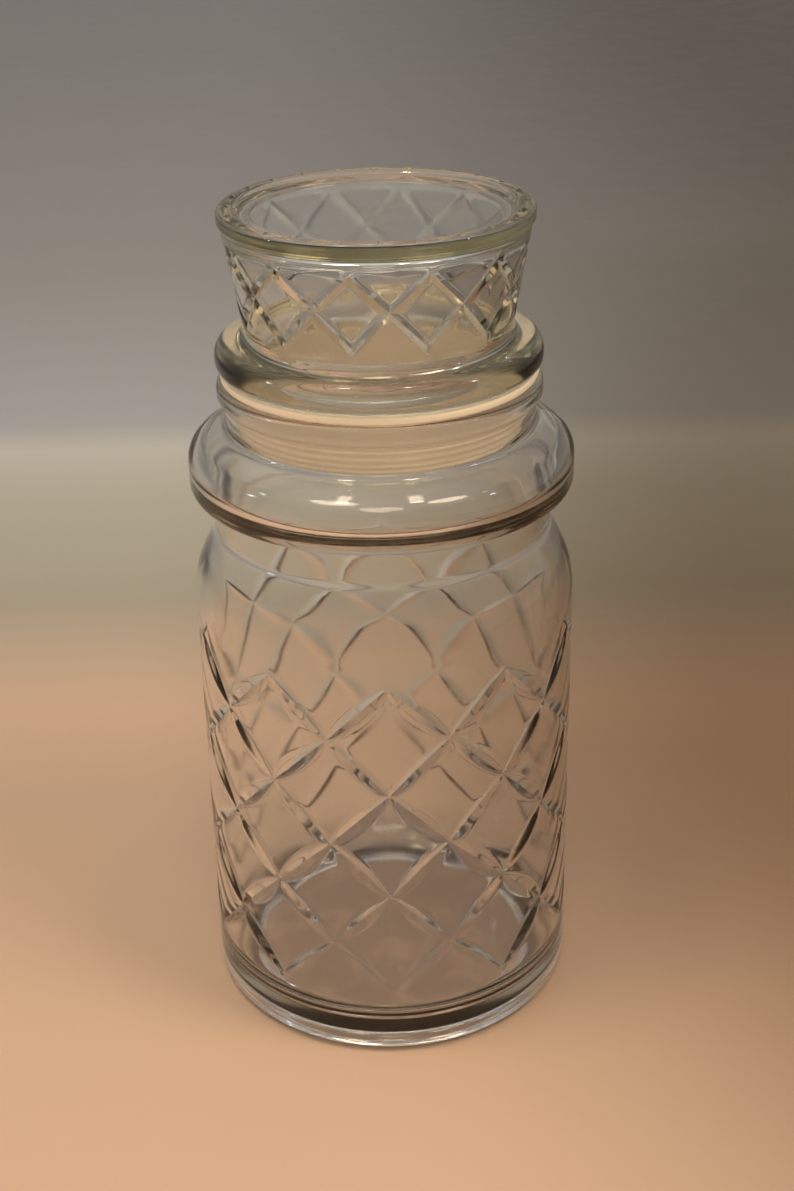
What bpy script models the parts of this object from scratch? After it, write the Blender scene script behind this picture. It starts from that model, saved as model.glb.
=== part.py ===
"""Lidded glass canister: a pressed glass jar, its hollow glass lid and the ribbed plastic seal between them.

The frame: +Z up, the origin on the table under the middle of the base, the front of the pattern towards -Y.
Angles are measured around +Z from -Y towards +X. Sizes are in millimetres until a vertex is made.
"""

import math

import bmesh
import bpy

MM = 0.001

# Fit between the pieces
REST_GAP = 0.3  # left between two faces that rest on each other
SLEEVE_GAP = 0.4  # left between two round faces that slide in each other

# Jar: heights from the table, radii of the outer face
JAR_HEIGHT = 199.0
BODY_RADIUS = 56.4
BODY_WALL = 4.0
BASE_THICKNESS = 6.5
PUSH_UP = 2.2  # how far the middle of the base is raised
FOOT_INSET = 9.4  # from the body's side in to the inner edge of the ring that the jar stands on
HEEL_ROUND = 5.5

SHOULDER_STEP = 7.0  # body radius less waist radius
SHOULDER_HEIGHT = 14.5
SHOULDER_ROUND = 34.0
WAIST_HEIGHT = 12.3
WAIST_ROUND = 5.0
BULGE_STEP = 6.4  # bulge radius less waist radius
BULGE_HEIGHT = 13.0
BULGE_DROOP = 0.4  # how much lower the bulge's underside is at the waist than at its edge
BULGE_SLOPE = 6.4  # height of the slope from the bulge up to the neck
BULGE_ROUND = 6.6
BULGE_WALL = 4.4
MOUTH_RADIUS = 40.8
NECK_WALL = 3.8
NECK_HEIGHT = 13.4  # from the foot of the neck to the top of the lip
NECK_ROUND = 4.0
LIP_WALL = 5.7
LIP_HEIGHT = 4.7
LIP_ROUND = 2.2
FOOT_SLOPE = 3.0  # width of the slope from the standing ring up to the raised middle
FLOOR_ROUND = 12.0  # inside, between the floor and the wall
INNER_ROUND = 5.0  # inside, where the wall bends
EDGE_ROUND = 1.3  # every other edge of the glass

# Diamonds on the body
BODY_COLUMNS = 10
BODY_BANDS = 6  # rows of half diamonds
BODY_PATTERN_FOOT = 22.8  # height of the lowest corners
BODY_PATTERN_HEAD = 12.6  # from the highest corners up to the shoulder
BODY_GROOVE_DEPTH = 1.1
BODY_GROOVE_HALF = 0.09  # half a groove's width, as a share of a diamond's side
BODY_NODE_DEPTH = 0.35

# Seal
SEAL_FLANGE = 2.4
SEAL_FLANGE_INSET = 1.3  # how far the flange stays inside the lip
SEAL_DEPTH = 18.8  # from the top of the flange to the foot of the sleeve
SEAL_WALL = 1.0
SEAL_RIBS = 8
SEAL_RIB_HEIGHT = 0.8
SEAL_RIB_WIDTH = 1.4
SEAL_ROUND = 0.8

# Lid: heights from the underside of its shoulder
LID_SKIRT_DEPTH = 17.7
LID_SKIRT_WALL = 4.0
LID_SHOULDER_HEIGHT = 8.3
LID_SHOULDER_ROUND = 4.0
LID_SHOULDER_STEP = 9.0  # shoulder radius less the radius of the cone's foot
LID_CONE_FOOT_RISE = 0.7
LID_CONE_FOOT_ROUND = 2.5
LID_CONE_HEIGHT = 31.9
LID_CONE_FLARE = 5.5  # how much wider the cone is at its head than at its foot
LID_RIM_LEDGE = 0.8
LID_RIM_HEIGHT = 3.4
LID_RIM_WIDTH = 5.2
LID_RIM_ROUND = 1.6
LID_DISH_DEPTH = 1.2
LID_TOP_THICKNESS = 3.6
LID_CONE_WALL = 4.2
LID_CAVITY_ROUND = 4.0
LID_TURN = math.radians(4.4)  # how far the lid is turned on the jar

# Diamonds and pips on the lid
LID_COLUMNS = 12
LID_BANDS = 2
LID_PATTERN_FOOT = 16.0
LID_PATTERN_HEAD = 36.3
LID_GROOVE_DEPTH = 0.8
LID_GROOVE_HALF = 0.12
LID_PIP_HEIGHT = 0.5

# Fineness of the meshes
LATTICE_STEPS = 4  # lattice lines along a diamond's side, so 4 faces around for each diamond
ARC_STEP = math.radians(36.0)
MOST_OF_SIDE = 0.49  # the share of an outline's side that one rounding may take up
SHARP_ANGLE = math.radians(32.0)  # edges sharper than this are shaded as edges

# Heights and radii that follow from the sizes above
foot_radius = BODY_RADIUS - FOOT_INSET
waist_radius = BODY_RADIUS - SHOULDER_STEP
bulge_radius = waist_radius + BULGE_STEP
neck_radius = MOUTH_RADIUS + NECK_WALL
lip_radius = MOUTH_RADIUS + LIP_WALL
neck_foot = JAR_HEIGHT - NECK_HEIGHT
bulge_top = neck_foot - BULGE_SLOPE
bulge_foot = bulge_top - BULGE_HEIGHT
shoulder_top = bulge_foot - WAIST_HEIGHT
shoulder_foot = shoulder_top - SHOULDER_HEIGHT
flange_foot = JAR_HEIGHT + REST_GAP
flange_top = flange_foot + SEAL_FLANGE
lid_seat = flange_top + REST_GAP
rib_radius = MOUTH_RADIUS - SLEEVE_GAP
sleeve_radius = rib_radius - SEAL_RIB_HEIGHT
sleeve_bore = sleeve_radius - SEAL_WALL
skirt_radius = sleeve_bore - SLEEVE_GAP
cavity_radius = skirt_radius - LID_SKIRT_WALL
cone_foot_radius = lip_radius - LID_SHOULDER_STEP
cone_head_radius = cone_foot_radius + LID_CONE_FLARE


def rounded(corners):
    """The points of an outline of (radius, height, rounding) corners, each rounding drawn as an arc.

    A rounding is limited to what the shorter side beside it has room for.
    """
    points = []
    for index, (radius, height, rounding) in enumerate(corners):
        if index in (0, len(corners) - 1) or rounding == 0:
            points.append((radius, height))
            continue
        before, after = corners[index - 1], corners[index + 1]
        to_before = (before[0] - radius, before[1] - height)
        to_after = (after[0] - radius, after[1] - height)
        sides = math.hypot(*to_before), math.hypot(*to_after)
        away = [component / sides[0] for component in to_before]
        ahead = [component / sides[1] for component in to_after]
        opening = math.acos(away[0] * ahead[0] + away[1] * ahead[1])
        reach = min(rounding / math.tan(opening / 2), min(sides) * MOST_OF_SIDE)
        size = reach * math.tan(opening / 2)
        middle = (away[0] + ahead[0], away[1] + ahead[1])
        stretch = size / math.sin(opening / 2) / math.hypot(*middle)
        centre = (radius + middle[0] * stretch, height + middle[1] * stretch)
        start = math.atan2(height + away[1] * reach - centre[1], radius + away[0] * reach - centre[0])
        turn = math.pi - opening
        if away[0] * ahead[1] - away[1] * ahead[0] > 0:
            turn = -turn
        steps = max(1, math.ceil(abs(turn) / ARC_STEP))
        for step in range(steps + 1):
            angle = start + turn * step / steps
            points.append((centre[0] + size * math.cos(angle), centre[1] + size * math.sin(angle)))
    return points


def vertex_at(bm, angle, radius, height):
    return bm.verts.new((MM * radius * math.sin(angle), -MM * radius * math.cos(angle), MM * height))


def ring_at(bm, point, sides, turn=0.0):
    radius, height = point
    return [vertex_at(bm, turn + math.tau * side / sides, radius, height) for side in range(sides)]


def join_rings(bm, lower, upper):
    """A band of faces from one ring to the next one along the outline."""
    sides = len(lower)
    for side in range(sides):
        following = (side + 1) % sides
        bm.faces.new((lower[side], lower[following], upper[following], upper[side]))


def turned(bm, points, sides, turn=0.0, start=None):
    """Turns an outline about the axis, from a ring that is already there if start gives one.

    A point on the axis becomes one vertex. It returns the last ring.
    """
    last = start
    for point in points:
        if point[0] == 0:
            pole = vertex_at(bm, 0.0, 0.0, point[1])
            if last is not None:
                for side, vertex in enumerate(last):
                    bm.faces.new((vertex, last[(side + 1) % sides], pole))
            last = pole
            continue
        ring = ring_at(bm, point, sides, turn)
        if isinstance(last, bmesh.types.BMVert):
            for side, vertex in enumerate(ring):
                bm.faces.new((last, ring[(side + 1) % sides], vertex))
        elif last is not None:
            join_rings(bm, last, ring)
        last = ring
    return last


def spread(coordinate, half):
    """Moves the lattice lines beside a groove in to its edges, and leaves the others evenly spaced."""
    whole = math.floor(coordinate)
    share = round((coordinate - whole) * LATTICE_STEPS)
    if share in (0, LATTICE_STEPS):
        return coordinate
    if share == 1:
        return whole + half
    if share == LATTICE_STEPS - 1:
        return whole + 1 - half
    inner = (share - 1) / (LATTICE_STEPS - 2)
    return whole + half + inner * (1 - 2 * half)


def diamond_band(bm, columns, bands, foot, head, radius_at, half, depth_at, turn=0.0):
    """A band of crossing V grooves on a round wall, as a lattice whose lines run along the grooves.

    across and along count diamond sides up to the right and up to the left. Two points in a row are one
    diamond width divided by LATTICE_STEPS apart. It returns the lowest and the highest row.
    """
    half_column = math.pi / columns
    pitch = (head - foot) / bands
    sides = columns * LATTICE_STEPS
    last_row = bands * LATTICE_STEPS
    rows = []
    for row in range(last_row + 1):
        ring = []
        for side in range(sides):
            step_right = side + math.ceil(row / 2)
            step_left = row - step_right
            across = step_right / LATTICE_STEPS
            along = step_left / LATTICE_STEPS
            depth = 0.0
            if step_right % LATTICE_STEPS == 0 or step_left % LATTICE_STEPS == 0:
                depth = depth_at(across, along)
            if 0 < row < last_row:
                across, along = spread(across, half), spread(along, half)
            height = foot + pitch * (across + along)
            angle = turn + half_column * (across - along)
            ring.append(vertex_at(bm, angle, radius_at(height) - depth, height))
        rows.append(ring)
    for row in range(1, last_row + 1):
        shift = 1 - row % 2
        for side in range(sides):
            below, below_next = rows[row - 1][side], rows[row - 1][(side + 1) % sides]
            above = rows[row][(side - 1 + shift) % sides], rows[row][(side + shift) % sides]
            if row == 1:
                bm.faces.new((below, below_next, rows[1][side]))
            if row == last_row:
                bm.faces.new((below, above[1], above[0]))
            else:
                top = rows[row + 1][side]
                bm.faces.new((below, above[1], top, above[0]))
    return rows[0], rows[-1]


def part_from(name, bm, lift_height, material):
    """Makes the object of a closed mesh, its origin on the axis at the height it lifts from."""
    bm.normal_update()
    bmesh.ops.triangulate(bm, faces=[face for face in bm.faces if len(face.verts) > 3])
    bmesh.ops.translate(bm, verts=bm.verts, vec=(0, 0, -MM * lift_height))
    mesh = bpy.data.meshes.new(name)
    bm.to_mesh(mesh)
    bm.free()
    mesh.shade_smooth()
    mesh.set_sharp_from_angle(angle=SHARP_ANGLE)
    mesh.materials.append(material)
    part = bpy.data.objects.new(name, mesh)
    part.location.z = MM * lift_height
    bpy.context.scene.collection.objects.link(part)
    return part


def finish_of(name, colour, roughness, transmission, ior):
    material = bpy.data.materials.new(name)
    material.use_nodes = True
    shader = material.node_tree.nodes["Principled BSDF"]
    shader.inputs["Base Color"].default_value = (*colour, 1.0)
    shader.inputs["Roughness"].default_value = roughness
    shader.inputs["Metallic"].default_value = 0.0
    shader.inputs["Transmission Weight"].default_value = transmission
    shader.inputs["IOR"].default_value = ior
    return material


def body_groove_depth(across, along):
    """A leaf-shaped groove: deepest halfway along a side, and shallow where the grooves meet."""
    middle = max(abs(across % 1.0 - 0.5), abs(along % 1.0 - 0.5))
    beside = min(abs(across % 1.0 - 0.5), abs(along % 1.0 - 0.5)) if middle == 0.5 else middle
    swell = math.cos(math.pi * beside)
    return BODY_NODE_DEPTH + (BODY_GROOVE_DEPTH - BODY_NODE_DEPTH) * swell


def lid_groove_depth(across, along):
    """A groove of one depth all the way, which also runs through the crossings."""
    return LID_GROOVE_DEPTH


def make_jar():
    bm = bmesh.new()
    sides = BODY_COLUMNS * LATTICE_STEPS
    pattern_head = shoulder_foot - BODY_PATTERN_HEAD
    base = rounded([
        (0, PUSH_UP, 0),
        (foot_radius - FOOT_SLOPE, PUSH_UP, FOOT_SLOPE),
        (foot_radius, 0, EDGE_ROUND),
        (BODY_RADIUS, 0, HEEL_ROUND),
        (BODY_RADIUS, BODY_PATTERN_FOOT, 0),
    ])
    heel = turned(bm, base[:-1], sides)
    foot_row, head_row = diamond_band(
        bm, BODY_COLUMNS, BODY_BANDS, BODY_PATTERN_FOOT, pattern_head,
        lambda height: BODY_RADIUS, BODY_GROOVE_HALF, body_groove_depth,
    )
    join_rings(bm, heel, foot_row)
    outside = rounded([
        (BODY_RADIUS, pattern_head, 0),
        (BODY_RADIUS, shoulder_foot, SHOULDER_ROUND),
        (waist_radius, shoulder_top, WAIST_ROUND),
        (waist_radius, bulge_foot - BULGE_DROOP, EDGE_ROUND),
        (bulge_radius, bulge_foot, BULGE_ROUND),
        (bulge_radius, bulge_top, BULGE_ROUND),
        (neck_radius, neck_foot, NECK_ROUND),
        (neck_radius, JAR_HEIGHT - LIP_HEIGHT - LIP_WALL + NECK_WALL, EDGE_ROUND),
        (lip_radius, JAR_HEIGHT - LIP_HEIGHT, EDGE_ROUND),
        (lip_radius, JAR_HEIGHT, LIP_ROUND),
        (MOUTH_RADIUS, JAR_HEIGHT, EDGE_ROUND),
        (MOUTH_RADIUS, neck_foot - BULGE_WALL / 2, INNER_ROUND),
        (bulge_radius - BULGE_WALL, bulge_top - BULGE_WALL / 2, INNER_ROUND),
        (bulge_radius - BULGE_WALL, bulge_foot + BULGE_WALL, INNER_ROUND),
        (waist_radius - BODY_WALL, bulge_foot + BULGE_WALL / 2, INNER_ROUND),
        (waist_radius - BODY_WALL, shoulder_top, WAIST_ROUND),
        (BODY_RADIUS - BODY_WALL, shoulder_foot, SHOULDER_ROUND - BODY_WALL),
        (BODY_RADIUS - BODY_WALL, BASE_THICKNESS, FLOOR_ROUND),
        (0, BASE_THICKNESS, 0),
    ])
    turned(bm, outside[1:], sides, start=head_row)
    glass = finish_of("jar_glass", (0.93, 0.96, 0.93), 0.03, 1.0, 1.52)
    return part_from("jar", bm, 0.0, glass)


def make_seal():
    bm = bmesh.new()
    flange_radius = lip_radius - SEAL_FLANGE_INSET
    sleeve_foot = flange_top - SEAL_DEPTH
    ribs = []
    ribbed_height = flange_foot - sleeve_foot
    rib_crest = SEAL_RIB_WIDTH / 3
    for rib in range(SEAL_RIBS):
        middle = sleeve_foot + ribbed_height * (rib + 0.5) / SEAL_RIBS
        ribs += [
            (sleeve_radius, middle - SEAL_RIB_WIDTH / 2, 0),
            (rib_radius, middle - rib_crest / 2, 0),
            (rib_radius, middle + rib_crest / 2, 0),
            (sleeve_radius, middle + SEAL_RIB_WIDTH / 2, 0),
        ]
    outline = rounded([
        (sleeve_bore, sleeve_foot, 0),
        (sleeve_radius, sleeve_foot, 0),
        *ribs,
        (sleeve_radius, flange_foot, 0),
        (flange_radius, flange_foot, SEAL_ROUND),
        (flange_radius, flange_top, SEAL_ROUND),
        (sleeve_bore, flange_top, 0),
    ])
    sides = BODY_COLUMNS * LATTICE_STEPS
    first = ring_at(bm, outline[0], sides)
    last = turned(bm, outline[1:], sides, start=first)
    join_rings(bm, last, first)
    plastic = finish_of("seal_plastic", (0.86, 0.66, 0.50), 0.35, 0.4, 1.5)
    return part_from("seal_ring", bm, flange_foot, plastic)


def make_lid():
    bm = bmesh.new()
    sides = LID_COLUMNS * LATTICE_STEPS
    cone_foot = lid_seat + LID_SHOULDER_HEIGHT + LID_CONE_FOOT_RISE
    cone_head = cone_foot + LID_CONE_HEIGHT
    rim_foot = cone_head + LID_RIM_LEDGE
    rim_radius = cone_head_radius + LID_RIM_LEDGE
    rim_top = rim_foot + LID_RIM_HEIGHT
    dish = rim_top - LID_DISH_DEPTH
    cavity_top = dish - LID_TOP_THICKNESS
    skirt_foot = lid_seat - LID_SKIRT_DEPTH

    def cone_radius(height):
        share = (height - cone_foot) / LID_CONE_HEIGHT
        return cone_foot_radius + share * LID_CONE_FLARE

    pattern_foot = lid_seat + LID_PATTERN_FOOT
    pattern_head = lid_seat + LID_PATTERN_HEAD
    below = rounded([
        (0, cavity_top, 0),
        (cone_radius(cavity_top) - LID_CONE_WALL, cavity_top, LID_CAVITY_ROUND),
        (cone_foot_radius - LID_CONE_WALL, cone_foot, INNER_ROUND),
        (cavity_radius, skirt_foot, EDGE_ROUND),
        (skirt_radius, skirt_foot, EDGE_ROUND),
        (skirt_radius, lid_seat, 0),
        (lip_radius, lid_seat, LID_SHOULDER_ROUND),
        (lip_radius, lid_seat + LID_SHOULDER_HEIGHT, LID_SHOULDER_ROUND),
        (cone_foot_radius, cone_foot, LID_CONE_FOOT_ROUND),
        (cone_radius(pattern_foot), pattern_foot, 0),
    ])
    shoulder = turned(bm, below[:-1], sides, LID_TURN)
    foot_row, head_row = diamond_band(
        bm, LID_COLUMNS, LID_BANDS, pattern_foot, pattern_head,
        cone_radius, LID_GROOVE_HALF, lid_groove_depth, LID_TURN + math.pi / LID_COLUMNS,
    )
    half_turn = LATTICE_STEPS // 2
    foot_row = foot_row[-half_turn:] + foot_row[:-half_turn]
    head_row = head_row[-half_turn:] + head_row[:-half_turn]
    join_rings(bm, shoulder, foot_row)
    crest_radius = rim_radius - LID_RIM_WIDTH / 2
    above = rounded([
        (cone_radius(pattern_head), pattern_head, 0),
        (cone_head_radius, cone_head, 0),
        (rim_radius, rim_foot, EDGE_ROUND),
        (rim_radius, rim_top, LID_RIM_ROUND),
        (crest_radius, rim_top, 0),
    ])
    crest = turned(bm, above[1:], sides, LID_TURN, head_row)
    for vertex in crest[::2]:
        vertex.co.z += MM * LID_PIP_HEIGHT
    inside = rounded([
        (crest_radius, rim_top, 0),
        (rim_radius - LID_RIM_WIDTH, rim_top, LID_RIM_ROUND),
        (rim_radius - LID_RIM_WIDTH - LID_DISH_DEPTH, dish, EDGE_ROUND),
        (0, dish, 0),
    ])
    turned(bm, inside[1:], sides, LID_TURN, crest)
    glass = finish_of("lid_glass", (0.93, 0.96, 0.92), 0.03, 1.0, 1.52)
    return part_from("lid", bm, lid_seat, glass)


def main():
    for leftover in list(bpy.data.objects):
        bpy.data.objects.remove(leftover, do_unlink=True)
    make_jar()
    make_seal()
    make_lid()


main()
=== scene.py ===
# %% [markdown]
# # A pressed glass canister with a stopper lid
# The real canister has only three pieces: a glass jar, a hollow glass lid, and the ribbed plastic
# seal between them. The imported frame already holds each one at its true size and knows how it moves.
# What is missing is what makes glass look like glass: crisp cut facets that bend the light, walls
# of real thickness, and a surface that is not quite even. Each frame piece is therefore replaced
# with a fine skin of the same outline, and the skin gets a finish of its own.

# %% Open the frame
import math

import bpy
import numpy as np
from mathutils import Matrix, Vector


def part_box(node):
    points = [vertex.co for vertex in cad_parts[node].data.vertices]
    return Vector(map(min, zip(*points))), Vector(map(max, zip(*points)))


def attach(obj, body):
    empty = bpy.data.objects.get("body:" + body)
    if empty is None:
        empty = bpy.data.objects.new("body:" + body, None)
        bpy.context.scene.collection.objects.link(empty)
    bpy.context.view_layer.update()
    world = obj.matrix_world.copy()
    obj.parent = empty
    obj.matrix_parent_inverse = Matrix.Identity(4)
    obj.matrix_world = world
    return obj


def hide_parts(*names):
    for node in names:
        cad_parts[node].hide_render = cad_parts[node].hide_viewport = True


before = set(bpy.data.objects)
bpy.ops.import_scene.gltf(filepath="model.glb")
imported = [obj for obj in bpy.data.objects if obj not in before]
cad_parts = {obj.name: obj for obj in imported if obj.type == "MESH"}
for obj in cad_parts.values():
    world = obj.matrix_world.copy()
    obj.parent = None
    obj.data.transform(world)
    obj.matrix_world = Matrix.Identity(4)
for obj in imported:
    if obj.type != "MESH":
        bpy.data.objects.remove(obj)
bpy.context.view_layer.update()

# %% [markdown]
# ## Sizes
# The frame gives the big sizes: how wide a piece is, and where it begins and ends. They are read
# here and kept in millimetres, as glass moulds are drawn. The smaller sizes, such as the walls and
# the steps of the outline, are stated where the outline is drawn.

# %% Read the big sizes
MM = 0.001


def piece_sizes(node):
    """(widest radius, lowest point, highest point) of a frame piece, in millimetres."""
    low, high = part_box(node)
    return max(high.x, high.y, -low.x, -low.y) / MM, low.z / MM, high.z / MM


body_radius, table, jar_top = piece_sizes("jar")
flange_radius, sleeve_foot, flange_top = piece_sizes("seal_ring")
_, skirt_foot, pip_top = piece_sizes("lid")
mouth_radius = 40.8
lip_radius = mouth_radius + 5.7
lid_seat = flange_top + 0.3
print(f"jar {body_radius:.1f} x {jar_top:.1f}, seal {flange_radius:.1f}, lid top {pip_top:.1f}")

# %% [markdown]
# ## Outlines
# Everything here is turned about one upright axis, so each piece starts as an outline: a short list
# of corners, each with its radius, its height and how much it is rounded. A function draws every
# rounding as an arc. That is how a mould maker's drawing is dimensioned, and it keeps the numbers few.

# %% Draw an outline
ARC_LENGTH = 0.9
LEAST_TURN, MOST_TURN = math.radians(3), math.radians(15)
MOST_OF_SIDE = 0.49  # the share of a side that one rounding may take up


def rounded(corners):
    """The (radius, height) points of an outline of (radius, height, rounding) corners."""
    points = []
    for index, (radius, height, rounding) in enumerate(corners):
        here = np.array((radius, height), float)
        if rounding == 0:
            points.append(here)
            continue
        back, ahead = (np.array(corners[index + way][:2]) - here for way in (-1, 1))
        room = MOST_OF_SIDE * min(np.linalg.norm(back), np.linalg.norm(ahead))
        back, ahead = back / np.linalg.norm(back), ahead / np.linalg.norm(ahead)
        opening = math.acos(back @ ahead)
        reach = min(rounding / math.tan(opening / 2), room)
        size = reach * math.tan(opening / 2)
        middle = (back + ahead) / np.linalg.norm(back + ahead)
        centre = here + middle * size / math.sin(opening / 2)
        start = math.atan2(*(here + back * reach - centre)[::-1])
        turn = (math.pi - opening) * (-1 if back[0] * ahead[1] > back[1] * ahead[0] else 1)
        steps = math.ceil(abs(turn) / min(MOST_TURN, max(LEAST_TURN, ARC_LENGTH / size)))
        for angle in start + turn * np.arange(steps + 1) / steps:
            points.append(centre + size * np.array((math.cos(angle), math.sin(angle))))
    return points


def filled_in(points, step):
    """The outline with more points along its long straight stretches, so that faces stay even."""
    rows = [points[0]]
    for before, after in zip(points, points[1:]):
        parts = max(1, math.ceil(np.linalg.norm(after - before) / step))
        rows += [before + (after - before) * part / parts for part in range(1, parts + 1)]
    return rows


# %% [markdown]
# ## A skin of rings
# A turned piece could come from a Screw modifier, but these are not plain turned pieces: a band of
# crossing grooves runs round the jar and round the lid. So each skin is built ring by ring. A ring
# is a loop of points, two rings are joined by a strip of faces, and an end closes on one point.
# Angles run from the front, where the pattern faces us, round to the right.

# %% Join rings into a skin
SHARP_ANGLE = math.radians(38)


class Skin:
    """A closed skin, built up from rings of points."""

    def __init__(self):
        self.points, self.faces, self.rings = [], [], []

    def ring(self, radii, angles, heights):
        """Adds one ring's points, given in millimetres, and returns their numbers."""
        radii, angles, heights = np.broadcast_arrays(radii, angles, heights)
        places = np.stack([radii * np.sin(angles), -radii * np.cos(angles), heights], axis=1) * MM
        first = len(self.points)
        self.points += places.tolist()
        return np.arange(first, first + len(places))

    def join(self, *corners):
        """One face for each place in these rings, its corners taken from each ring in turn."""
        self.faces += np.stack(np.broadcast_arrays(*corners), axis=1).tolist()

    def strip(self, lower, upper):
        """Joins two rings, or a ring and a single point, with faces that face outwards."""
        if len(lower) == 1:
            self.join(lower, np.roll(upper, -1), upper)
        elif len(upper) == 1:
            self.join(lower, np.roll(lower, -1), upper)
        else:
            self.join(lower, np.roll(lower, -1), np.roll(upper, -1), upper)

    def add(self, ring):
        """Joins a ring to the one before it."""
        if self.rings:
            self.strip(self.rings[-1], ring)
        self.rings.append(ring)

    def turn(self, outline, angles, proud=None):
        """Turns an outline. proud(angles, height) is how far a ring's points stand out from it."""
        for radius, height in outline:
            if radius < 1e-6:
                self.add(self.ring([0.0], [0.0], [height]))
            else:
                out = proud(angles, height) if proud else 0.0
                self.add(self.ring(radius + out, angles, height))

    def weave(self, rows):
        """Joins staggered rows, whose points lie half a step apart, into a net of slanting faces."""
        self.add(rows[0])
        self.join(rows[0], np.roll(rows[0], -1), rows[1])
        for number in range(1, len(rows)):
            shift = number % 2
            left, right = np.roll(rows[number], shift), np.roll(rows[number], shift - 1)
            self.join(rows[number - 1], right, *rows[number + 1 : number + 2], left)
        self.rings.append(rows[-1])

    def close(self):
        """Joins the last ring to the first one, for a piece with a hole through it."""
        self.strip(self.rings[-1], self.rings[0])

    def piece(self, name, body):
        """Makes the object, which rides on its body."""
        mesh = bpy.data.meshes.new(name)
        mesh.from_pydata(self.points, [], self.faces)
        mesh.shade_smooth()
        mesh.set_sharp_from_angle(angle=SHARP_ANGLE)
        made = bpy.data.objects.new(name, mesh)
        bpy.context.scene.collection.objects.link(made)
        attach(made, body)
        mesh.calc_loop_triangles()
        print(f"{name}: {len(mesh.polygons)} faces, {len(mesh.loop_triangles)} triangles")
        return made


# %% [markdown]
# ## A lattice that follows the pattern
# The pattern is a net of diamonds whose sides are grooves. On an ordinary grid the grooves would run
# across the faces, and their sharp valleys would come out as little steps. Here the grid itself is
# turned, so that its lines run along the grooves like the threads of a net. They also crowd towards
# a groove, where the shape changes quickly. A place is counted in diamond sides up to the right and
# up to the left, so a groove lies wherever either count is a whole number.

# %% Lay out the lattice
CROWDING = 0.55


def crowded(sides, strength=CROWDING):
    """Moves evenly spaced lines towards the nearest whole number."""
    return sides - strength * np.sin(math.tau * sides) / math.tau


def lattice(columns, bands, steps, margin, foot, pitch, turn):
    """(sides up right, sides up left, angles, heights) for each row of a band of diamonds.

    foot is the height of the lowest corners and pitch the height of half a diamond. margin is how many
    rows there are beyond the corners, in which the lines spread out again until the last row is level.
    """
    for row in range(-margin, bands * steps + margin + 1):
        right = np.arange(columns * steps) + math.ceil(row / 2)
        left = row - right
        beyond = max(0, -row, row - bands * steps)
        strength = CROWDING * (1 - beyond / max(margin, 1))
        right, left = crowded(right / steps, strength), crowded(left / steps, strength)
        yield right, left, turn + math.pi / columns * (right - left), foot + pitch * (right + left)


def valley(distance, half_width, edge=0.35):
    """How deep a V groove is at a distance from its middle, as a share of 1, with softened edges."""
    inside = half_width - distance
    return (inside + np.sqrt(inside**2 + edge**2)) / 2 / half_width


print("at a groove the lines are", round(1 - CROWDING, 2), "of an even step apart")

# %% [markdown]
# ## The jar
# The jar is pressed in a mould, so its outside is crisp and its inside, shaped by a plunger, is
# smooth but a little uneven. From the table up it has a rounded heel, a straight body with the
# diamonds, a sloping shoulder, a narrow waist, a bulge, and a neck that ends in a rolled lip.
# The grooves are shaped like willow leaves: wide halfway along a diamond's side, narrow where they
# cross. Their width comes from a sine along the side, and their depth follows the width.

# %% The jar's outside
COLUMNS, BANDS, STEPS = 10, 6, 24
GROOVE_HALF, GROOVE_HALF_AT_CROSSING = 2.5, 0.6
GROOVE_DEPTH = 1.1
PATTERN_FOOT = 22.8

waist_radius = body_radius - 7.0
bulge_radius = waist_radius + 6.4
neck_radius = mouth_radius + 3.8
neck_foot = jar_top - 13.4
bulge_top = neck_foot - 6.4
bulge_foot = bulge_top - 13.0
shoulder_top = bulge_foot - 12.3
shoulder_foot = shoulder_top - 14.5
pattern_head = shoulder_foot - 12.6
jar_pitch = (pattern_head - PATTERN_FOOT) / BANDS
diamond_side = math.hypot(math.pi / COLUMNS * body_radius, jar_pitch)


def leaf_grooves(right, left):
    """The depth of the jar's grooves at a place in the lattice."""
    depth = np.zeros_like(right)
    for across, along in ((right, left), (left, right)):
        distance = np.abs(across - np.round(across)) * diamond_side
        swell = np.abs(np.sin(math.pi * along))
        half = GROOVE_HALF_AT_CROSSING + (GROOVE_HALF - GROOVE_HALF_AT_CROSSING) * swell
        depth = np.maximum(depth, GROOVE_DEPTH * half / GROOVE_HALF * valley(distance, half))
    return depth


def seam(angles):
    """The fine ridge that the mould's two halves leave at the front and at the back."""
    sideways = body_radius * np.abs(np.sin(angles))
    return 0.09 * np.clip(1 - sideways / 0.6, 0, 1)


jar = Skin()
jar_angles = math.tau / COLUMNS * crowded(np.arange(COLUMNS * STEPS) / STEPS)
heel = rounded([
    (0, table + 2.2, 0),
    (body_radius - 12.4, table + 2.2, 3.0),
    (body_radius - 9.4, table, 1.0),
    (body_radius, table, 5.5),
    (body_radius, PATTERN_FOOT, 0),
])
jar.turn(filled_in(heel, 2.0)[:-1], jar_angles)
jar.weave([
    jar.ring(body_radius - leaf_grooves(right, left) + seam(angles), angles, heights)
    for right, left, angles, heights in lattice(COLUMNS, BANDS, STEPS, 0, PATTERN_FOOT, jar_pitch, 0)
])
print(f"a diamond is {math.tau / COLUMNS * body_radius:.1f} x {2 * jar_pitch:.1f} mm")

# %% [markdown]
# The rest of the outline climbs to the lip, and then runs down the inside of the wall to the floor.
# A plunger leaves soft waves about a centimetre long. They are too low to see by themselves, but
# they make everything seen through the glass swim a little, so they are part of the shape here.

# %% The jar's shoulder, neck and inside
WAVE_HEIGHT = 0.08


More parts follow.
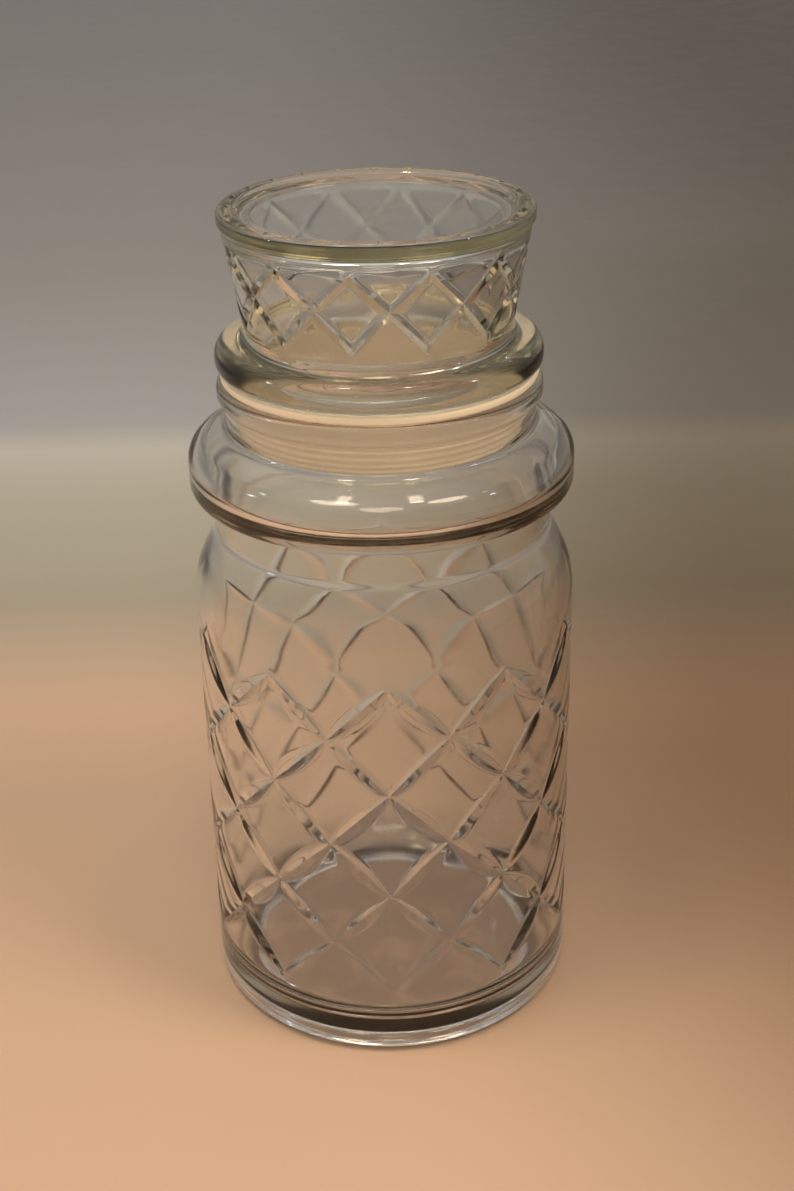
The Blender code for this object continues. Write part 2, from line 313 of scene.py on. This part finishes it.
def waves(angles, height):
    """Soft uneven waves on the plunger's side of the glass. Each goes round a whole number of times."""
    fine, middling = np.sin(5 * angles + height / 8 + 1), np.sin(3 * angles - height / 5)
    return WAVE_HEIGHT * (fine + middling + np.sin(2 * angles + height / 13))


outside = rounded([
    (body_radius, pattern_head, 0),
    (body_radius, shoulder_foot, 34),
    (waist_radius, shoulder_top, 5),
    (waist_radius, bulge_foot - 0.4, 1.3),
    (bulge_radius, bulge_foot, 6.6),
    (bulge_radius, bulge_top, 6.6),
    (neck_radius, neck_foot, 4),
    (neck_radius, jar_top - 6.6, 1.3),
    (lip_radius, jar_top - 4.7, 1.3),
    (lip_radius, jar_top, 2.2),
    (mouth_radius, jar_top, 1.3),
    (mouth_radius, neck_foot, 0),
])
inside = rounded([
    (mouth_radius, neck_foot, 0),
    (mouth_radius, neck_foot - 2.2, 5),
    (bulge_radius - 4.4, bulge_top - 2.2, 5),
    (bulge_radius - 4.4, bulge_foot + 4.4, 5),
    (waist_radius - 4, bulge_foot + 2.2, 5),
    (waist_radius - 4, shoulder_top, 5),
    (body_radius - 4, shoulder_foot, 30),
    (body_radius - 4, table + 6.5, 12),
    (0, table + 6.5, 0),
])
jar.turn(filled_in(outside, 1.8)[1:], jar_angles)
jar.turn(filled_in(inside, 3.6)[1:], jar_angles, waves)
jar_piece = jar.piece("jar_glass_skin", "jar")
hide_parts("jar")

# %% [markdown]
# ## The seal
# A ring of soft, milky plastic keeps the lid tight. Its flange lies between the jar's lip and the
# lid, and its sleeve hangs down inside the neck, with fine ribs that press against the glass. It is
# one moulded ring, so one closed outline makes it, with the ribs drawn by a loop.

# %% The seal
RIBS, SEAL_SIDES = 8, 200
rib_radius = mouth_radius - 0.4
sleeve_radius = rib_radius - 0.8
sleeve_bore = sleeve_radius - 1.0
flange_foot = jar_top + 0.3

rib_pitch = (flange_foot - sleeve_foot) / RIBS
ribs = []
for rib in range(RIBS):
    foot = sleeve_foot + rib * rib_pitch
    ribs += [
        (sleeve_radius, foot + 0.2 * rib_pitch, 0.2),
        (rib_radius, foot + 0.45 * rib_pitch, 0.3),
        (rib_radius, foot + 0.65 * rib_pitch, 0.3),
        (sleeve_radius, foot + 0.9 * rib_pitch, 0.2),
    ]
seal_outline = rounded([
    (sleeve_bore, sleeve_foot, 0),
    (sleeve_radius, sleeve_foot, 0.3),
    *ribs,
    (sleeve_radius, flange_foot, 0.2),
    (flange_radius, flange_foot, 0.8),
    (flange_radius, flange_top, 0.8),
    (sleeve_bore, flange_top, 0.4),
    (sleeve_bore, sleeve_foot + 2, 0),
])
seal = Skin()
seal.turn(filled_in(seal_outline, 1.5), np.arange(SEAL_SIDES) * math.tau / SEAL_SIDES)
seal.close()
seal_piece = seal.piece("seal_soft_ring", "seal")
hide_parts("seal_ring")

# %% [markdown]
# ## The lid
# The lid is a heavy hollow stopper. Its skirt slips into the seal, its shoulder rests on the flange,
# and above it a cone flares out to a beaded rim round a dished top. One row of diamonds runs round
# the cone. Its grooves keep one width all the way, and turn sharp corners at the top and the bottom:
# they are two zigzag lines half a diamond apart, and the deeper of the two wins where they cross.

# %% The lid's outside
LID_COLUMNS, LID_BANDS, LID_STEPS = 12, 2, 24
LID_GROOVE_HALF, LID_GROOVE_DEPTH = 1.55, 0.9
LID_TURN = math.radians(4.4)
CAVITY_RADIUS = 34.2

cone_foot = (lip_radius - 9.0, lid_seat + 9.0)
cone_head = (cone_foot[0] + 5.5, cone_foot[1] + 31.9)
rim_radius, rim_foot = cone_head[0] + 0.8, cone_head[1] + 0.8
rim_top = rim_foot + 3.4
dish = rim_top - 1.2
lid_pattern_foot, lid_pattern_head = lid_seat + 16.0, lid_seat + 36.3
lid_pitch = (lid_pattern_head - lid_pattern_foot) / LID_BANDS
corner_turn = LID_TURN + math.pi / LID_COLUMNS


def cone_radius(height):
    share = (height - cone_foot[1]) / (cone_head[1] - cone_foot[1])
    return cone_foot[0] + share * (cone_head[0] - cone_foot[0])


def zigzag_grooves(angles, heights):
    """The depth of the lid's grooves at an angle and a height."""
    depth = np.zeros_like(angles)
    for start in (0.0, 0.5):
        along = (angles - corner_turn) / (4 * math.pi / LID_COLUMNS) + start
        line = lid_pattern_foot + 2 * lid_pitch * 2 * np.abs(along - np.round(along))
        distance = np.abs(heights - line) * math.cos(math.pi / 4)
        depth = np.maximum(depth, LID_GROOVE_DEPTH * valley(distance, LID_GROOVE_HALF, 0.25))
    return depth


lid = Skin()
lid_angles = corner_turn + np.arange(LID_COLUMNS * LID_STEPS) * math.tau / (LID_COLUMNS * LID_STEPS)
ceiling = dish - 3.6
cavity = rounded([
    (0, ceiling, 0),
    (cone_radius(ceiling) - 4.2, ceiling, 4),
    (cone_foot[0] - 4.2, cone_foot[1], 5),
    (CAVITY_RADIUS, skirt_foot, 1.3),
    (CAVITY_RADIUS + 2, skirt_foot, 0),
])
shoulder = rounded([
    (CAVITY_RADIUS + 2, skirt_foot, 0),
    (CAVITY_RADIUS + 4, skirt_foot, 1.3),
    (CAVITY_RADIUS + 4, lid_seat, 0),
    (lip_radius, lid_seat, 3),
    (lip_radius, lid_seat + 8.3, 5),
    (*cone_foot, 3),
    (cone_radius(lid_pattern_foot), lid_pattern_foot, 0),
])
margin = LID_STEPS // 4
below = [point for point in filled_in(shoulder, 1.4) if point[1] < lid_pattern_foot - lid_pitch / 4 - 0.5]
lid.turn(filled_in(cavity, 2.2)[:-1], lid_angles, waves)
lid.turn(below, lid_angles)
lid.weave([
    lid.ring(cone_radius(heights) - zigzag_grooves(angles, heights), angles, heights)
    for _, _, angles, heights in lattice(
        LID_COLUMNS, LID_BANDS, LID_STEPS, margin, lid_pattern_foot, lid_pitch, corner_turn)
])

# %% [markdown]
# The rim is a rounded bead with a ring of tiny pips along its crest, one every fifteen degrees. The
# pips could be little domes pushed into the bead, but two glass solids that overlap bend the light
# at a face that isn't there in the real one. So they are raised in the skin itself, and the rings
# across the bead crowd their points towards each pip to have enough of them there.

# %% The lid's rim and top
PIPS, PIP_RADIUS = 24, 0.75
crest_radius = rim_radius - 2.6
pip_height = pip_top - rim_top
points_per_pip = LID_COLUMNS * LID_STEPS // PIPS
pip_shift = 3
count = np.arange(LID_COLUMNS * LID_STEPS) + pip_shift
pip_angles = corner_turn + (crowded(count / points_per_pip, 0.75) * points_per_pip - pip_shift) * (
    math.tau / (LID_COLUMNS * LID_STEPS))


def rim_place(radius, angles, height):
    """A point's height with the pips, as rounded domes on the crest."""
    nearest = np.round(count / points_per_pip) * points_per_pip - pip_shift
    sideways = (angles - corner_turn - nearest * math.tau / len(count)) * radius
    distance = np.hypot(sideways, radius - crest_radius) / PIP_RADIUS
    return height + pip_height * np.clip(1 - distance**2, 0, 1)


bead = rounded([
    (*cone_head, 0),
    (rim_radius, rim_foot, 0.8),
    (rim_radius, rim_top, 1.6),
    (crest_radius, rim_top, 0),
])
dished_top = rounded([
    (crest_radius, rim_top, 0),
    (rim_radius - 4.6, rim_top, 1.6),
    (rim_radius - 5.8, dish, 3.0),
    (0, dish, 0),
])
top_margin = lid_pattern_head + lid_pitch / 4 + 0.5
above = [np.array((cone_radius(height), height)) for height in np.arange(top_margin, cone_head[1], 1.0)]
lid.turn(above, lid_angles)
for radius, height in filled_in(bead, 0.5) + filled_in(dished_top, 0.5)[1:]:
    if radius > rim_radius - 8:
        lid.add(lid.ring(radius, pip_angles, rim_place(radius, pip_angles, height)))
lid.turn([np.array((radius, dish)) for radius in np.arange(rim_radius - 10, 1, -2.4)], lid_angles)
lid.turn([np.array((0.0, dish))], lid_angles)
lid_piece = lid.piece("lid_glass_skin", "lid")
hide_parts("lid")

# %% [markdown]
# ## Shader sums
# A finish is a small network of nodes. Written out node by node it is hard to read, so one class
# wraps a node's output, and sums on it add Math nodes. Another holds the material and adds any other
# node from its type, its settings and what goes into its sockets.

# %% Write shaders as sums
class Wire:
    """One output of a shader node. Sums on it add Math nodes."""

    def __init__(self, finish, socket):
        self.finish, self.socket = finish, socket

    def math(self, operation, *values):
        return self.finish.node("ShaderNodeMath", {"operation": operation}, dict(enumerate(values)))

    def __add__(self, other):
        return self.math("ADD", self, other)

    def __sub__(self, other):
        return self.math("SUBTRACT", self, other)

    def __rsub__(self, other):
        return self.math("SUBTRACT", other, self)

    def __mul__(self, other):
        return self.math("MULTIPLY", self, other)

    __radd__, __rmul__ = __add__, __mul__

    def output(self, name):
        return Wire(self.finish, self.socket.node.outputs[name])


class Finish:
    """A material and the nodes that make it."""

    def __init__(self, name):
        self.material = bpy.data.materials.new(name)
        self.material.use_nodes = True
        self.tree = self.material.node_tree
        self.tree.nodes.clear()
        self.place = self.node("ShaderNodeTexCoord").output("Object")

    def node(self, kind, settings=None, sockets=None):
        """Adds a node, with its settings and a value or a Wire for each socket. Returns its first output."""
        node = self.tree.nodes.new(kind)
        for name, value in (settings or {}).items():
            if name == "stops":
                ramp = node.color_ramp
                while len(ramp.elements) < len(value):
                    ramp.elements.new(0.5)
                for element, (position, colour) in zip(ramp.elements, value):
                    element.position, element.color = position, (*colour, 1)
            else:
                setattr(node, name, value)
        for name, value in (sockets or {}).items():
            if isinstance(value, Wire):
                self.tree.links.new(value.socket, node.inputs[name])
            else:
                node.inputs[name].default_value = value
        return Wire(self, node.outputs[0]) if node.outputs else None

    def noise(self, scale, detail=2.0, stretch=(1, 1, 1)):
        """Noise from 0 to 1, scale being its bumps per metre. stretch draws it out along an axis."""
        place = self.node(
            "ShaderNodeVectorMath", {"operation": "MULTIPLY"}, {0: self.place, 1: stretch})
        return self.node(
            "ShaderNodeTexNoise", sockets={"Vector": place, "Scale": scale, "Detail": detail})

    def bump(self, height, metres):
        return self.node("ShaderNodeBump", sockets={"Height": height, "Distance": metres, "Strength": 1.0})

    def surface(self, shader, volume=None):
        """Makes this shader the material's surface, and that one its inside."""
        sockets = {"Surface": shader} if volume is None else {"Surface": shader, "Volume": volume}
        self.node("ShaderNodeOutputMaterial", sockets=sockets)
        return self.material


# %% [markdown]
# ## Clear glass
# Soda glass is all but colourless, and looks faintly green or olive only where it is thick, along
# the rims and the base. A tinted surface would colour a thin wall as much as a thick one, so the
# tint sits in the volume instead and the light picks it up on its way. The surface is handled
# kitchen ware: a few wiped smudges make it less sharp in places, and the mould leaves it slightly
# rippled.

# %% The glass finish
def glass(name, tint, density):
    """Clear pressed glass. density is how quickly the tint builds up, per metre."""
    finish = Finish(name)
    smudges = finish.noise(38.0, 4.0, (1, 1, 0.4))
    patches = finish.node(
        "ShaderNodeMapRange", {"clamp": True}, {"Value": smudges, "From Min": 0.5, "From Max": 0.75})
    roughness = 0.05 + patches * 0.06
    ripple = finish.noise(45.0, 1.0) + 0.03 * finish.noise(300.0, 2.0)
    shader = finish.node("ShaderNodeBsdfPrincipled", sockets={
        "Base Color": (1.0, 1.0, 1.0, 1),
        "Roughness": roughness,
        "IOR": 1.52,
        "Transmission Weight": 1.0,
        "Normal": finish.bump(ripple, 0.0001),
    })
    inside = finish.node("ShaderNodeVolumeAbsorption", sockets={"Color": (*tint, 1), "Density": density})
    return finish.surface(shader, inside)


jar_piece.data.materials.append(glass("jar_clear_glass", (0.74, 0.72, 0.42), 9.0))
lid_piece.data.materials.append(glass("lid_clear_glass", (0.72, 0.70, 0.46), 26.0))

# %% [markdown]
# ## Milky plastic
# The seal is soft polythene. Light goes a little way in and comes out spread, so it glows rather
# than shines. Scattering inside a wall one millimetre thick is slow to trace. So the shader lets only
# a little light through, is satin on top, and has a faint painted glow of its own: painted light in
# place of the light that would have wandered through, and of the lamp light that reaches it through the
# glass.

# %% The seal's finish
def milky_plastic(name, colour):
    finish = Finish(name)
    cloud = finish.noise(90.0, 3.0)
    shade = finish.node("ShaderNodeMix", {"data_type": "RGBA"}, {
        "Factor": cloud,
        "A": (*(0.94 * value for value in colour), 1),
        "B": (*(min(1.0, 1.04 * value) for value in colour), 1),
    }).output("Result")
    grain = finish.noise(1500.0, 2.0)
    shader = finish.node("ShaderNodeBsdfPrincipled", sockets={
        "Base Color": shade,
        "Roughness": 0.30 + 0.12 * cloud,
        "IOR": 1.5,
        "Transmission Weight": 0.08,
        # Painted light: the seal glows faintly though it is no lamp.
        "Emission Color": shade,
        "Emission Strength": 0.11,
        "Normal": finish.bump(grain, 0.00002),
    })
    return finish.surface(shader)


seal_piece.data.materials.append(milky_plastic("seal_milky_plastic", (0.95, 0.80, 0.58)))

# %% [markdown]
# ## Floor
# Clear glass has next to no colour of its own, so what stands around it is half of its look. The
# floor is one wide, plain, pale sheet. It is warm where the jar stands and turns to a cool grey
# further back, as a counter top does that runs up to a grey wall. The warmth in front is partly
# painted warm lamp light, and the darker band where it turns grey is painted shade. It is painted
# darker to the right, as shade away from the lamps. A real base gathers light into bright flecks
# beneath it. Tracing those is slow and grainy, so the sheet is simply painted lighter there, in
# patches made by noise.

# %% The floor
FLOOR_HALF = 6.0


def floor_finish():
    finish = Finish("pale_floor")
    split = finish.node("ShaderNodeSeparateXYZ", sockets={"Vector": finish.place})
    depth = split.output("Y")
    share = finish.node("ShaderNodeMapRange", {"clamp": True}, {
        "Value": depth, "From Min": -0.2, "From Max": 0.8})
    # The ramp holds the counter's and the wall's own colours with painted light in it: the warm front stands
    # for warm lamp light, and the darker band behind it is painted shade.
    sweep = finish.node("ShaderNodeValToRGB", {"stops": [
        (0.00, (0.60, 0.41, 0.28)),
        (0.36, (0.58, 0.40, 0.27)),
        (0.46, (0.38, 0.34, 0.26)),
        (0.58, (0.46, 0.44, 0.36)),
        (0.65, (0.56, 0.54, 0.47)),
        (0.69, (0.42, 0.42, 0.42)),
        (1.00, (0.37, 0.35, 0.33)),
    ]}, {"Fac": share})
    # Painted shade: the floor is painted darker to the right, away from the lamps; the lamps themselves don't
    # darken it.
    spread = finish.node("ShaderNodeMapRange", {"clamp": True}, {
        "Value": depth, "From Min": 0.1, "From Max": 0.9, "To Min": 1.0, "To Max": 0.4})
    painted_shade_share = finish.node("ShaderNodeMapRange", {"interpolation_type": "SMOOTHSTEP"}, {
        "Value": (split.output("X") + 0.5 * depth.math("MINIMUM", depth, 0.12)) * spread,
        "From Min": -0.06, "From Max": 0.21, "To Min": 0.0, "To Max": 1.0})
    shade = finish.node("ShaderNodeMix", {"data_type": "RGBA"}, {
        "Factor": painted_shade_share, "A": (1, 1, 1, 1), "B": (0.36, 0.31, 0.25, 1)}).output("Result")
    middle = finish.node("ShaderNodeVectorMath", {"operation": "LENGTH"}, {0: finish.place}).output("Value")
    gathered = finish.node("ShaderNodeMapRange", {"interpolation_type": "SMOOTHSTEP"}, {
        "Value": middle, "From Min": 0.042, "From Max": 0.052, "To Min": 1.0, "To Max": 0.0})
    flecks = finish.node("ShaderNodeMapRange", {"interpolation_type": "SMOOTHSTEP"}, {
        "Value": finish.noise(60.0, 3.0), "From Min": 0.45, "From Max": 0.70, "To Min": 0.35, "To Max": 0.75})
    shaded = finish.node("ShaderNodeVectorMath", {"operation": "MULTIPLY"}, {0: sweep, 1: shade})
    colour = finish.node("ShaderNodeVectorMath", {"operation": "SCALE"}, {
        0: shaded, "Scale": 1.0 + gathered * flecks})
    shader = finish.node("ShaderNodeBsdfPrincipled", sockets={
        "Base Color": colour, "Roughness": 0.35 + 0.1 * finish.noise(30.0)})
    return finish.surface(shader)


mesh = bpy.data.meshes.new("floor")
corners = [(x * FLOOR_HALF, y * FLOOR_HALF, 0) for x, y in ((-1, -1), (1, -1), (1, 1), (-1, 1))]
mesh.from_pydata(corners, [], [(0, 1, 2, 3)])
mesh.materials.append(floor_finish())
floor = bpy.data.objects.new("floor", mesh)
bpy.context.scene.collection.objects.link(floor)

# %% [markdown]
# ## Light
# Two wide warm lamps stand nearly overhead, one to each side, and throw the two soft shadows. A
# third fills in from the front. They are left out of reflections, where they would be large blobs:
# four small lamps draw the bright streaks instead, two warm ones overhead and two cool ones at the
# sides. The sky is warm and pale at the horizon, dim above it, and light again straight overhead,
# so that the edges of the glass stay dark.

# %% Lights and sky
def soft_light(name, direction, distance, size, power, colour, mirrored):
    """A round area light that looks at the jar's middle. direction points from the jar to it.

    A light that isn't mirrored lights things, but makes no bright spot on glass.
    """
    light = bpy.data.lights.new(name, "AREA")
    light.shape, light.size = "DISK", size
    light.energy, light.color = power, colour
    lamp = bpy.data.objects.new(name, light)
    lamp.visible_glossy = mirrored
    middle = Vector((0, 0, jar_top / 2 * MM))
    lamp.location = middle + Vector(direction).normalized() * distance
    lamp.rotation_euler = (middle - lamp.location).to_track_quat("-Z", "Y").to_euler()
    bpy.context.scene.collection.objects.link(lamp)


WARM, COOL = (1.0, 0.82, 0.62), (0.75, 0.85, 1.0)
soft_light("soft_from_right", (0.45, -0.28, 0.85), 1.3, 0.42, 6.0, WARM, False)
soft_light("soft_from_left", (-0.30, -0.20, 0.93), 1.3, 0.42, 5.0, WARM, False)
soft_light("soft_from_front", (0.0, -0.62, 0.78), 1.4, 0.50, 4.4, WARM, False)
soft_light("spark_left", (-0.21, -0.04, 0.98), 1.3, 0.11, 0.9, WARM, True)
soft_light("spark_right", (0.18, -0.08, 0.98), 1.3, 0.11, 0.9, WARM, True)
soft_light("cool_spark_left", (-0.84, -0.05, 0.53), 1.5, 0.13, 0.9, COOL, True)
soft_light("cool_spark_right", (0.70, -0.12, 0.71), 1.5, 0.09, 0.5, COOL, True)

world = bpy.data.worlds.new("soft_room")
world.use_nodes = True
sky = world.node_tree.nodes["Background"]
direction = world.node_tree.nodes.new("ShaderNodeTexCoord")
height = world.node_tree.nodes.new("ShaderNodeSeparateXYZ")
ramp = world.node_tree.nodes.new("ShaderNodeValToRGB")
SKY = (
    (0.00, (0.36, 0.34, 0.29)),
    (0.30, (0.29, 0.27, 0.25)),
    (0.55, (0.20, 0.19, 0.19)),
    (1.00, (0.66, 0.65, 0.65)),
)
for position, _ in SKY[1:-1]:
    ramp.color_ramp.elements.new(position)
for stop, (position, colour) in zip(ramp.color_ramp.elements, SKY):
    stop.position, stop.color = position, (*colour, 1)
world.node_tree.links.new(direction.outputs["Generated"], height.inputs[0])
world.node_tree.links.new(height.outputs["Z"], ramp.inputs["Fac"])
world.node_tree.links.new(ramp.outputs["Color"], sky.inputs["Color"])
sky.inputs["Strength"].default_value = 1.0
bpy.context.scene.world = world

# %% [markdown]
# ## Camera
# The camera looks down at the jar from a standing person's height and a little to the left of
# straight ahead. Its turn is built from three angles: which way it faces, how far it looks down,
# and how far it leans.

# %% The camera
CAMERA_BACK, CAMERA_HEIGHT = 0.4841, 0.3674
FACES, LOOKS_DOWN, LEANS = 0.0077118, 0.459704, -0.0193727

camera_data = bpy.data.cameras.new("camera")
camera_data.lens, camera_data.sensor_width = 54.1, 36.0
camera = bpy.data.objects.new("camera", camera_data)
camera.matrix_world = (
    Matrix.Translation((0, -CAMERA_BACK, CAMERA_HEIGHT))
    @ Matrix.Rotation(-FACES, 4, "Z")
    @ Matrix.Rotation(math.pi / 2 - LOOKS_DOWN, 4, "X")
    @ Matrix.Rotation(LEANS, 4, "Z")
)
bpy.context.scene.collection.objects.link(camera)
bpy.context.scene.camera = camera

scene = bpy.context.scene
scene.view_settings.view_transform = "Standard"
scene.cycles.max_bounces = 24
scene.cycles.transmission_bounces = 24
scene.cycles.glossy_bounces = 8
scene.cycles.use_denoising = True
print("camera at", [round(value, 3) for value in camera.location])
